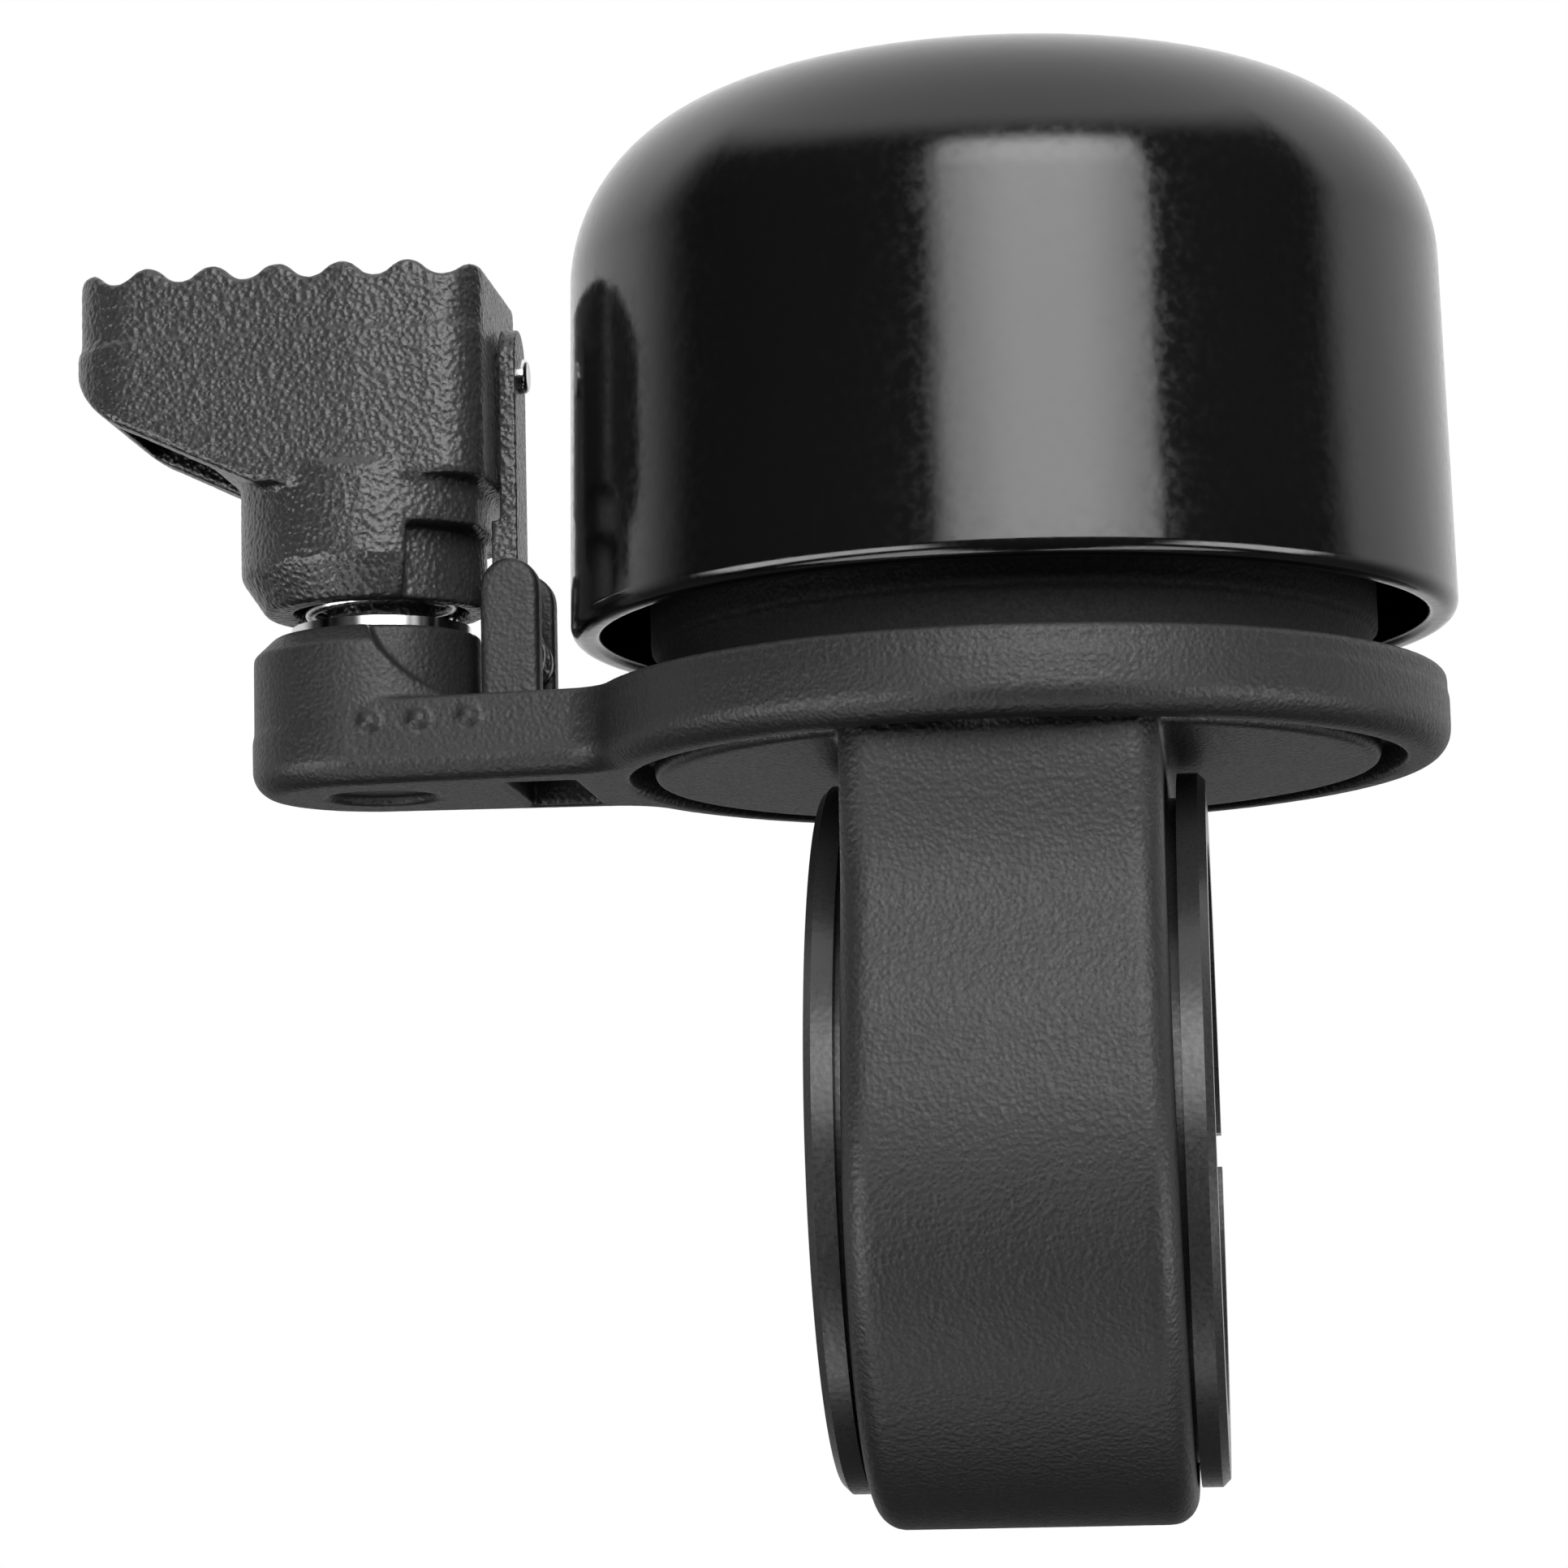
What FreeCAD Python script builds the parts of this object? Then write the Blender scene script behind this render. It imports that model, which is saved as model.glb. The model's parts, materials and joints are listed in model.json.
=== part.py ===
"""Bicycle bell on a handlebar clamp.

A deep steel dome stands on a round base above a split clamp band. A swivel arm turns about the
dome's axis. It carries a ribbed thumb lever on a vertical axle and a small hinged hammer between
two posts. Turning the lever swings the hammer's striker against the dome.

Frame: origin at the centre of the handlebar bore, +X along the handlebar, +Z to the dome. Millimetres.
"""
import FreeCAD, Part
import math
import os

# ---------------------------------------------------------------- driving dimensions
BAR_R = 11.1                  # 22.2 mm handlebar
SHIM_R = 12.85                # outside of the shim
BAND_BORE_R = 12.9
BAND_R = 15.2                 # outside of the clamp band
BAND_HALF_TOP = 5.85          # half width of the band at the disc, and at its foot
BAND_HALF_FOOT = 6.2
BASE_Z = 14.1                 # underside of the base disc, the ring and the arm
DISC_R = 14.29
RING_R = 17.0                 # outside of the swivel ring
RING_TOP_Z = BASE_Z + 3.3      # top of the ring and of the arm's deck
DOME_R = 17.5                 # outside of the dome at its rim
DOME_WALL = 1.2
RIM_Z = BASE_Z + 5.6
DOME_TOP_Z = BASE_Z + 28.25
LEVER_X = -25.4               # axle of the thumb lever
SEAM_Z = BASE_Z + 2.35        # mould parting line of the ring and arm
HAMMER_X = -19.75             # hinge pin of the hammer
HAMMER_PIN_Z = BASE_Z + 5.4
STRIKER_Z = BASE_Z + 17.0

# clamp
SHIM_FLANGE_R = 13.8
SHIM_FLANGE_X = (6.3, 7.4)    # inner and outer face of each shim flange
SHIM_BEVEL = 0.3
SHIM_SPLIT = 1.4
SHIM_SPLIT_Z = -0.35
BAND_GAP = 1.5
LUG_HALF_X = 4.5
LUG_Y = 18.6                  # axis of the clamp screw, behind the bar
LUG_LOW_Z = -5.5
LUG_HIGH_Z = 6.5
M4_R = 2.0
M4_CLEAR_R = 2.15
M4_HEAD_R = 3.5
M4_HEAD_H = 4.0
M4_NUT_FLATS = 7.0
M4_NUT_H = 3.2
M4_WASHER_R = 4.2
WASHER_T = 0.8

# base, ring and retainer
DISC_T = 1.1
JOURNAL_R = 12.4
JOURNAL_TOP_Z = BASE_Z + 3.45
RUN_FIT = 0.06
GLIDE_T = 0.3
SKIRT_BORE_R = 15.27
FLANGE_LOW_Z = BASE_Z + 1.5
RETAINER_R = 14.35
RETAINER_NECK_R = 14.1
RETAINER_STEP_Z = BASE_Z + 5.1
RETAINER_TOP_Z = BASE_Z + 8.3
RETAINER_WELL = (5.6, 12.4, 2.4)   # inner radius, outer radius and depth of the well
RETAINER_RIBS = 6

# dome fixing
HEAD_SEAT_Z = BASE_Z + 1.3
POST_R = 4.0
POST_LOW_Z = RETAINER_TOP_Z + 0.8
PAN_HEAD_R = 3.4
PAN_HEAD_H = 1.7
LOCK_WASHER_T = 0.5
DOME_SCREW_TOP_Z = 31.0

# dome section: wall, shoulder arc and crown arc
SHOULDER_R = 6.92
SHOULDER_X = 10.36            # radius of the shoulder arc's centre line
CROWN_R = 41.2
WALL_TAPER = math.radians(0.92)

# arm
ARM_END_R = 5.2
ARM_ROOT = (-17.3, 6.2)       # half outline of the arm where it reaches the ring
ARM_ROOT_FILLET = 1.8
SEAM_STEP = 0.07
UNDER_FILLET = 1.1
BOSS_R = 4.0
BOSS_TOP_Z = BASE_Z + 6.45
RIM_WALL_TOP_Z = BASE_Z + 5.6
POST_X = (-20.95, -18.6)
HINGE_POST_Y = (1.4, 2.6)
HINGE_POST_TOP_Z = BASE_Z + 9.15
DOT_X = (-24.9, -22.9, -20.9)
DOT_R = 0.45

# lever
HUB_R = 5.6
HUB_LOW_Z = BASE_Z + 7.4
CAM_FLAT = 4.5                # the cam flat's distance from the axle
BLOCK_END = 5.0               # flat end of the block, from the axle
BLOCK_HALF_Y = 5.35           # at the axle, tapering to the thumb end
BLOCK_TIP_HALF_Y = 4.5
BLOCK_LEFT_X = -37.3
BLOCK_SEAM_Z = BASE_Z + 18.1
BLOCK_LOW_Z = BASE_Z + 12.1   # underside of the block beside the hub
RIB_PITCH = 2.66
RIB_COUNT = 7
RIB_DEPTH = 0.6
RIB_FIRST_X = -36.5
CREST_Z = BASE_Z + 21.2       # crest of the first rib
RIB_SLOPE = math.radians(1.6)
RELIEF_R = 4.3                # hub radius where it clears the hinge posts
RELIEF_ANGLE = 136
AXLE_R = 1.5
AXLE_BORE_R = 1.55
AXLE_LOW_Z = BASE_Z + 1.1
AXLE_TOP_Z = BASE_Z + 16.7
AXLE_BORE_TOP_Z = BASE_Z + 17.1
CLIP_Z = (28.04, 28.36)       # lower and upper face of the axle clip
CLIP_PLAY = 0.04              # space for the clip in the lever's groove
SLEEVE_R = 2.2
SLEEVE_LOW_Z = BOSS_TOP_Z + 0.45

# hammer
LEAF_HALF_Y = 1.3
LEAF_RIGHT_X = -19.6
LEAF_LEFT_X = -20.3
LEAF_ROOT_X = -20.65
LEAF_TOP_Z = BASE_Z + 18.9
PIN_R = 0.6
PIN_NEAR_Y = -2.25
BARREL_R = 1.15
RIVET_R = 0.45                # shank of the striker

Z_AXIS = FreeCAD.Vector(0, 0, 1)


# ---------------------------------------------------------------- helpers
def vec(x, y, z):
    return FreeCAD.Vector(x, y, z)


def cyl(r, z0, z1, x=0.0, y=0.0):
    return Part.makeCylinder(r, z1 - z0, vec(x, y, z0), Z_AXIS)


def tube(r_in, r_out, z0, z1, x=0.0, y=0.0):
    return cyl(r_out, z0, z1, x, y).cut(cyl(r_in, z0 - 1, z1 + 1, x, y))


def cone(r0, r1, z0, z1, x=0.0, y=0.0):
    return Part.makeCone(r0, r1, z1 - z0, vec(x, y, z0), Z_AXIS)


def cyl_x(r, x0, x1):
    return Part.makeCylinder(r, x1 - x0, vec(x0, 0, 0), vec(1, 0, 0))


def cyl_y(r, y0, y1, x, z):
    return Part.makeCylinder(r, y1 - y0, vec(x, y0, z), vec(0, 1, 0))


def block(x0, x1, y0, y1, z0, z1):
    return Part.makeBox(x1 - x0, y1 - y0, z1 - z0, vec(x0, y0, z0))


def line(a, b):
    return Part.LineSegment(a, b).toShape()


def arc(a, mid, b):
    return Part.Arc(a, mid, b).toShape()


def prism(edges, along):
    return Part.Face(Part.Wire(edges)).extrude(along)


def polygon(points):
    return Part.Face(Part.makePolygon(points + points[:1]))


def fuse(shape, *others):
    for other in others:
        shape = shape.fuse(other)
    return shape.removeSplitter()


def hexagon(flats, z0, z1, x, y):
    corner = flats / 2 / math.cos(math.radians(30))
    points = [vec(x + corner * math.cos(math.radians(60 * i)),
                  y + corner * math.sin(math.radians(60 * i)), z0) for i in range(6)]
    return polygon(points).extrude(vec(0, 0, z1 - z0))


def edges_where(shape, test):
    return [e for e in shape.Edges if test(e)]


def flat_at(edge, z):
    box = edge.BoundBox
    return abs(box.ZMin - z) < 0.01 and abs(box.ZMax - z) < 0.01


def export(name, shape):
    shape.exportStep("parts/%s.step" % name)


# ---------------------------------------------------------------- clamp
def bar_shim():
    """Flanged sleeve between the handlebar and the band, split at the back."""
    inner_x, outer_x = SHIM_FLANGE_X
    shape = cyl_x(SHIM_R, -outer_x, outer_x)
    for sign in (-1, 1):
        flange = cyl_x(SHIM_FLANGE_R, inner_x, outer_x)
        rim = edges_where(flange, lambda e: abs(e.BoundBox.XMin - outer_x) < 0.01
                          and abs(e.BoundBox.XMax - outer_x) < 0.01)
        flange = flange.makeChamfer(SHIM_BEVEL, rim)
        if sign < 0:
            flange = flange.mirror(vec(0, 0, 0), vec(1, 0, 0))
        shape = shape.fuse(flange)
    split = block(-9, 9, 5, 16, SHIM_SPLIT_Z - SHIM_SPLIT / 2, SHIM_SPLIT_Z + SHIM_SPLIT / 2)
    return shape.cut(cyl_x(BAR_R, -9, 9)).cut(split).removeSplitter()


def band_outline():
    """Outside of the band seen along the bar: straight flanks tangent to the round foot."""
    top_y, top_z = DISC_R - 0.14, BASE_Z + 0.5
    reach = math.hypot(top_y, top_z)
    angle = math.atan2(top_y, top_z) + math.acos(BAND_R / reach)
    touch_y, touch_z = BAND_R * math.sin(angle), BAND_R * math.cos(angle)
    left_top, right_top = vec(0, -top_y, top_z), vec(0, top_y, top_z)
    left, right = vec(0, -touch_y, touch_z), vec(0, touch_y, touch_z)
    return [line(right_top, left_top), line(left_top, left),
            arc(left, vec(0, 0, -BAND_R), right), line(right, right_top)]


def clamp_base():
    """Base disc with the ring's journal, saddle, band and the two lugs of the clamp screw."""
    depth = 2 * BAND_R
    body = prism(band_outline(), vec(2 * BAND_HALF_FOOT + 4, 0, 0))
    body.translate(vec(-BAND_HALF_FOOT - 2, 0, 0))
    top, foot = BASE_Z + 1, -BAND_R - 1
    draft = polygon([vec(-BAND_HALF_TOP, -depth, top), vec(BAND_HALF_TOP, -depth, top),
                     vec(BAND_HALF_FOOT, -depth, foot), vec(-BAND_HALF_FOOT, -depth, foot)])
    body = body.common(draft.extrude(vec(0, 2 * depth, 0)))
    rim = edges_where(body, lambda e: e.BoundBox.ZMax < BASE_Z + 0.55 and e.BoundBox.XLength < 1.0
                      and e.BoundBox.ZLength > 5)
    body = body.makeFillet(1.1, rim)

    lug = cyl(LUG_HALF_X, LUG_LOW_Z, LUG_HIGH_Z, 0, LUG_Y)
    lug = lug.fuse(block(-LUG_HALF_X, LUG_HALF_X, 13.0, LUG_Y, LUG_LOW_Z, LUG_HIGH_Z))
    lug = lug.removeSplitter()
    lug = lug.makeFillet(0.7, edges_where(lug, lambda e: flat_at(e, LUG_LOW_Z) or flat_at(e, LUG_HIGH_Z)))
    body = body.fuse(lug)

    disc = cyl(DISC_R, BASE_Z, BASE_Z + DISC_T)
    disc = disc.makeFillet(0.3, edges_where(disc, lambda e: flat_at(e, BASE_Z)))
    body = fuse(body, disc, cyl(JOURNAL_R, BASE_Z + DISC_T - 0.2, JOURNAL_TOP_Z))

    body = body.cut(cyl_x(BAND_BORE_R, -12, 12))
    body = body.cut(block(-12, 12, 9, 26, -BAND_GAP / 2, BAND_GAP / 2))
    body = body.cut(cyl(M4_CLEAR_R, LUG_LOW_Z - 2, LUG_HIGH_Z + 2, 0, LUG_Y))
    body = body.cut(hexagon(M4_NUT_FLATS + 0.1, LUG_HIGH_Z - M4_NUT_H, LUG_HIGH_Z + 2, 0, LUG_Y))
    body = body.cut(cyl(PAN_HEAD_R + 0.3, 5, HEAD_SEAT_Z))
    return body.cut(cyl(M4_CLEAR_R, 5, 25))


def clamp_screw():
    """Socket screw that draws the two lugs together from below."""
    head_z = LUG_LOW_Z - WASHER_T
    head = cyl(M4_HEAD_R, head_z - M4_HEAD_H, head_z, 0, LUG_Y)
    head = head.makeChamfer(0.35, edges_where(head, lambda e: flat_at(e, head_z - M4_HEAD_H)))
    head = head.cut(hexagon(3.0, head_z - M4_HEAD_H - 1, head_z - M4_HEAD_H + 2, 0, LUG_Y))
    end_z = LUG_HIGH_Z + 0.6
    shank = cyl(M4_R, head_z - 0.5, end_z, 0, LUG_Y)
    shank = shank.makeChamfer(0.4, edges_where(shank, lambda e: flat_at(e, end_z)))
    return fuse(head, shank)


def clamp_washer():
    return tube(M4_CLEAR_R, M4_WASHER_R, LUG_LOW_Z - WASHER_T, LUG_LOW_Z, 0, LUG_Y)


def clamp_nut():
    nut = hexagon(M4_NUT_FLATS, LUG_HIGH_Z - M4_NUT_H, LUG_HIGH_Z, 0, LUG_Y)
    corner = M4_NUT_FLATS / 2 / math.cos(math.radians(30))
    crown = cone(corner + 1.1, corner - 0.2, LUG_HIGH_Z - 1.3, LUG_HIGH_Z, 0, LUG_Y)
    crown = crown.fuse(cyl(corner + 1.1, LUG_HIGH_Z - M4_NUT_H, LUG_HIGH_Z - 1.3, 0, LUG_Y))
    return nut.common(crown).cut(cyl(M4_R, -10, 20, 0, LUG_Y))


# ---------------------------------------------------------------- base stack and dome
def glide_washer():
    """Thin washer that the swivel ring turns on."""
    z0 = BASE_Z + DISC_T
    return tube(JOURNAL_R + 0.05, DISC_R - 0.2, z0, z0 + GLIDE_T)


def ring_retainer():
    """Moulded cap that holds the ring down and carries the dome."""
    body = cyl(RETAINER_NECK_R, JOURNAL_TOP_Z, RETAINER_STEP_Z)
    skirt = cyl(RETAINER_R, RETAINER_STEP_Z, RETAINER_TOP_Z)
    skirt = skirt.makeFillet(0.6, edges_where(skirt, lambda e: flat_at(e, RETAINER_TOP_Z)))
    body = fuse(body, skirt)
    well_in, well_out, well_depth = RETAINER_WELL
    body = body.cut(tube(well_in, well_out, RETAINER_TOP_Z - well_depth, RETAINER_TOP_Z + 1))
    for i in range(RETAINER_RIBS):
        rib = block(well_in - 0.6, well_out + 0.6, -0.5, 0.5, RETAINER_TOP_Z - well_depth - 0.6,
                    RETAINER_TOP_Z - 0.6)
        rib.rotate(vec(0, 0, 0), Z_AXIS, 360 / RETAINER_RIBS * (i + 0.5))
        body = body.fuse(rib)
    return body.removeSplitter().cut(cyl(M4_CLEAR_R, 10, 40))


def dome_screw():
    """Pan-head screw from inside the saddle up into the dome's post."""
    top = HEAD_SEAT_Z - LOCK_WASHER_T
    head = cyl(PAN_HEAD_R, top - PAN_HEAD_H, top)
    head = head.makeFillet(0.5, edges_where(head, lambda e: flat_at(e, top - PAN_HEAD_H)))
    head = head.cut(hexagon(2.5, top - PAN_HEAD_H - 1, top - PAN_HEAD_H + 1.1, 0, 0))
    shank = cyl(M4_R, top - 0.3, DOME_SCREW_TOP_Z)
    shank = shank.makeChamfer(0.4, edges_where(shank, lambda e: flat_at(e, DOME_SCREW_TOP_Z)))
    return fuse(head, shank)


def dome_lock_washer():
    washer = tube(M4_CLEAR_R, PAN_HEAD_R, HEAD_SEAT_Z - LOCK_WASHER_T, HEAD_SEAT_Z)
    return washer.cut(block(1, 5, -0.35, 0.35, 10, 20))


def dome_isolator():
    """Rubber washer under the post, so that the dome can ring."""
    return tube(M4_CLEAR_R, POST_R + 0.6, RETAINER_TOP_Z, POST_LOW_Z)


def dome_solid(inset):
    """Outside of the dome below its crown's pole, or with the wall as inset, its inside."""
    shoulder = SHOULDER_R - inset
    crown_z = DOME_TOP_Z - CROWN_R
    lean = math.asin(SHOULDER_X / (CROWN_R - SHOULDER_R))
    shoulder_z = crown_z + (CROWN_R - SHOULDER_R) * math.cos(lean)

    def on_shoulder(angle):
        return vec(SHOULDER_X + shoulder * math.cos(angle), 0, shoulder_z + shoulder * math.sin(angle))

    wall_top = on_shoulder(WALL_TAPER)
    low_z = RIM_Z - 2
    wall_low = vec(wall_top.x + (wall_top.z - low_z) * math.tan(WALL_TAPER), 0, low_z)
    brow = on_shoulder(math.pi / 2 - lean)
    section = [line(wall_low, wall_top),
               arc(wall_top, on_shoulder((WALL_TAPER + math.pi / 2 - lean) / 2), brow),
               line(brow, vec(0, 0, brow.z)), line(vec(0, 0, brow.z), vec(0, 0, low_z)),
               line(vec(0, 0, low_z), wall_low)]
    wall = Part.Face(Part.Wire(section)).revolve(vec(0, 0, 0), Z_AXIS, 360)
    cap = Part.makeSphere(CROWN_R - inset, vec(0, 0, crown_z)).common(cyl(brow.x, brow.z, DOME_TOP_Z + 1))
    return fuse(wall, cap)


def dome():
    """Deep drawn bell with a bevelled rim."""
    shell = dome_solid(0).cut(dome_solid(DOME_WALL))
    below = polygon([vec(0, 0, RIM_Z - 3), vec(0, 0, RIM_Z + 0.15), vec(DOME_R - DOME_WALL, 0, RIM_Z + 0.15),
                     vec(DOME_R - 0.95, 0, RIM_Z), vec(DOME_R - 0.7, 0, RIM_Z),
                     vec(DOME_R + 0.02, 0, RIM_Z + 0.6), vec(DOME_R + 1, 0, RIM_Z + 0.6),
                     vec(DOME_R + 1, 0, RIM_Z - 3)])
    return shell.cut(below.revolve(vec(0, 0, 0), Z_AXIS, 360))


def dome_post():
    """Threaded standoff brazed inside the crown."""
    body = cyl(POST_R, POST_LOW_Z, DOME_TOP_Z).common(dome_solid(DOME_WALL))
    flats = block(-POST_R, POST_R, -POST_R + 0.5, POST_R - 0.5, POST_LOW_Z - 1, POST_LOW_Z + 4)
    body = body.cut(cyl(POST_R + 1, POST_LOW_Z - 1, POST_LOW_Z + 4).cut(flats))
    return body.cut(cyl(M4_R, 10, DOME_SCREW_TOP_Z + 1.5))


# ---------------------------------------------------------------- swivel arm
def arm_plate(inset, z0, z1):
    """Arm outline, a tapered tongue with a round end, drawn from the lever axle to the ring."""
    end_r = ARM_END_R - inset
    root_x, root_y = ARM_ROOT[0] + 3.0, ARM_ROOT[1] - inset
    low_a, low_b = vec(LEVER_X, -end_r, z0), vec(root_x, -root_y, z0)
    high_a, high_b = vec(LEVER_X, end_r, z0), vec(root_x, root_y, z0)
    edges = [line(low_a, low_b), line(low_b, high_b), line(high_b, high_a),
             arc(high_a, vec(LEVER_X - end_r, 0, z0), low_a)]
    return prism(edges, vec(0, 0, z1 - z0))


def arm_half(inset, z0, z1):
    """Ring disc and arm plate joined with small fillets in the two inner corners."""
    shape = cyl(RING_R - inset, z0, z1).fuse(arm_plate(inset, z0, z1)).removeSplitter()
    corners = edges_where(shape, lambda e: e.BoundBox.ZLength > 0.5 and e.BoundBox.XLength < 0.01
                          and e.BoundBox.XMin > -18 and abs(e.BoundBox.YMin) > 5)
    return shape.makeFillet(ARM_ROOT_FILLET, corners)


def arm_end():
    """Raised round end that holds the lever's axle, cut back by a ramp around the boss."""
    wall = cyl(ARM_END_R - SEAM_STEP, SEAM_Z, RIM_WALL_TOP_Z, LEVER_X)
    wall = wall.fuse(cone(ARM_END_R - SEAM_STEP, 4.3, RIM_WALL_TOP_Z, BOSS_TOP_Z - 0.05, LEVER_X))
    high, low = vec(LEVER_X + 0.6, -8, BASE_Z + 5.7), vec(LEVER_X + 4.4, -8, RING_TOP_Z)
    sag = vec(LEVER_X + 2.2, -8, BASE_Z + 4.1)
    over, far = vec(LEVER_X - 0.2, -8, BOSS_TOP_Z + 1), vec(LEVER_X + 8, -8, RING_TOP_Z)
    top = vec(far.x, -8, over.z)
    ramp = prism([line(over, high), arc(high, sag, low), line(low, far), line(far, top), line(top, over)],
                 vec(0, 16, 0))
    wall = wall.cut(ramp)
    return wall.fuse(cyl(BOSS_R, SEAM_Z, BOSS_TOP_Z, LEVER_X)).removeSplitter()


def hinge_posts():
    """Two round-topped ears for the hammer pin."""
    x0, x1 = POST_X
    mid, half = (x0 + x1) / 2, (x1 - x0) / 2
    y0, y1 = HINGE_POST_Y
    ears = []
    for low, high in ((-y1, -y0), (y0, y1)):
        ear = block(x0, x1, low, high, SEAM_Z, HINGE_POST_TOP_Z - half)
        ear = ear.fuse(cyl_y(half, low, high, mid, HINGE_POST_TOP_Z - half)).removeSplitter()
        outer = low if low < 0 else high
        face_edges = edges_where(ear, lambda e: abs(e.BoundBox.YMin - outer) < 0.01
                                 and abs(e.BoundBox.YMax - outer) < 0.01 and e.BoundBox.ZMax > SEAM_Z + 0.1)
        ears.append(ear.makeFillet(0.25, face_edges))
    return ears


def swivel_arm():
    """Ring, arm, axle boss and hinge posts in one moulding."""
    lower = arm_half(0, BASE_Z, SEAM_Z)
    lower = lower.makeFillet(UNDER_FILLET, edges_where(lower, lambda e: flat_at(e, BASE_Z)))
    upper = arm_half(SEAM_STEP, SEAM_Z, RING_TOP_Z)
    upper = upper.makeFillet(0.3, edges_where(upper, lambda e: flat_at(e, RING_TOP_Z)))
    body = fuse(lower, upper, arm_end(), *hinge_posts())

    body = body.cut(cyl(SKIRT_BORE_R, BASE_Z - 1, FLANGE_LOW_Z))
    body = body.cut(cyl(JOURNAL_R + RUN_FIT, BASE_Z - 1, RING_TOP_Z + 1))
    body = body.cut(cyl(AXLE_R, AXLE_LOW_Z, BOSS_TOP_Z + 1, LEVER_X))
    body = body.cut(cyl(2.2, BASE_Z - 1, BASE_Z + 0.35, LEVER_X))
    body = body.cut(block(-20.0, -17.2, -3.2, 4.2, BASE_Z - 1, BASE_Z + 2.2))
    body = body.cut(block(-20.9, -17.2, -LEAF_HALF_Y - 0.1, LEAF_HALF_Y + 0.1, BASE_Z + 1.2,
                          RING_TOP_Z + 0.3))
    body = body.cut(cyl_y(PIN_R, PIN_NEAR_Y - 0.05, 4, HAMMER_X, HAMMER_PIN_Z))
    for x in DOT_X:
        y = -(ARM_END_R + (x - LEVER_X) / (ARM_ROOT[0] + 3.0 - LEVER_X) * (ARM_ROOT[1] - ARM_END_R))
        body = body.fuse(Part.makeSphere(DOT_R, vec(x, y + 0.15, SEAM_Z)))
    return body.removeSplitter()


def lever_axle():
    """Steel pin pressed into the boss, with a groove for the clip."""
    axle = cyl(AXLE_R, AXLE_LOW_Z, AXLE_TOP_Z, LEVER_X)
    axle = axle.makeChamfer(0.25, edges_where(axle, lambda e: flat_at(e, AXLE_TOP_Z)))
    groove = tube(AXLE_R - 0.25, 2 * AXLE_R, CLIP_Z[0] - 0.09, CLIP_Z[1] + 0.09, LEVER_X)
    return axle.cut(groove)


def thrust_washer():
    return tube(AXLE_BORE_R, 3.6, BOSS_TOP_Z, BOSS_TOP_Z + 0.4, LEVER_X)


def wire_along(path_edges, wire_r, start, heading):
    """Round wire swept along a path."""
    section = Part.Wire(Part.makeCircle(wire_r, start, heading))
    return Part.Wire(path_edges).makePipeShell([section], True, True)


def lever_spring():
    """Torsion spring round the axle, with one leg out over the boss."""
    mean_r, wire_r, turns, pitch = 2.85, 0.22, 5, 0.62
    z0 = BOSS_TOP_Z + 0.72
    helix = Part.makeHelix(pitch, pitch * turns, mean_r)
    helix.translate(vec(LEVER_X, 0, z0))
    start = helix.Vertexes[0].Point
    section = Part.Wire(Part.makeCircle(wire_r, start, vec(0, 1, pitch / (2 * math.pi * mean_r))))
    coil = Part.Wire(helix.Edges).makePipeShell([section], True, True)
    leg = Part.makeCylinder(wire_r, 3.1, start, vec(0, -1, 0))
    return coil.fuse(leg).fuse(Part.makeSphere(wire_r, start)).removeSplitter()


# ---------------------------------------------------------------- thumb lever
def ribbed_side():
    """Side view of the lever block: a wave of arcs on top, a slope beneath."""
    half = RIB_PITCH / 2

    def top(x, lift):
        return vec(x, -10, CREST_Z - RIB_DEPTH / 2 - (x - RIB_FIRST_X) * math.tan(RIB_SLOPE) + lift)

    x = RIB_FIRST_X - half / 2
    start = top(x, 0)
    edges = []
    for i in range(2 * RIB_COUNT):
        lift = RIB_DEPTH / 2 if i % 2 == 0 else -RIB_DEPTH / 2
        edges.append(arc(top(x, 0), top(x + half / 2, lift), top(x + half, 0)))
        x += half
    right_top = top(x, 0)
    right_low = vec(right_top.x, -10, BLOCK_LOW_Z)
    hub_low = vec(-29.5, -10, BLOCK_LOW_Z)
    slope_end = vec(-34.6, -10, BASE_Z + 14.55)
    bulge = vec(-36.5, -10, BASE_Z + 15.9)
    tip = vec(BLOCK_LEFT_X - 0.2, -10, BLOCK_SEAM_Z)
    tip_top = vec(tip.x, -10, start.z)
    edges += [line(right_top, right_low), line(right_low, hub_low), line(hub_low, slope_end),
              arc(slope_end, bulge, tip), line(tip, tip_top), line(tip_top, start)]
    return prism(edges, vec(0, 20, 0))


def block_plan(inset, z0, z1):
    """Lever block from above: a tapered bar with soft corners, flat across its cam end."""
    left, right = BLOCK_LEFT_X + inset, LEVER_X + BLOCK_END - inset / 2
    tip_y, end_y = BLOCK_TIP_HALF_Y - inset, BLOCK_HALF_Y - inset
    points = [vec(left, -tip_y, z0), vec(LEVER_X, -end_y, z0), vec(right, -end_y, z0),
              vec(right, end_y, z0), vec(LEVER_X, end_y, z0), vec(left, tip_y, z0)]
    plan = polygon(points).extrude(vec(0, 0, z1 - z0))

    def corner(x, y):
        return edges_where(plan, lambda e: e.BoundBox.ZLength > 1 and abs(e.BoundBox.XMin - x) < 0.01
                           and abs(abs(e.BoundBox.YMin) - y) < 0.01)
    plan = plan.makeFillet(2.9, corner(left, tip_y))
    return plan.makeFillet(1.7, corner(right, end_y))


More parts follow.
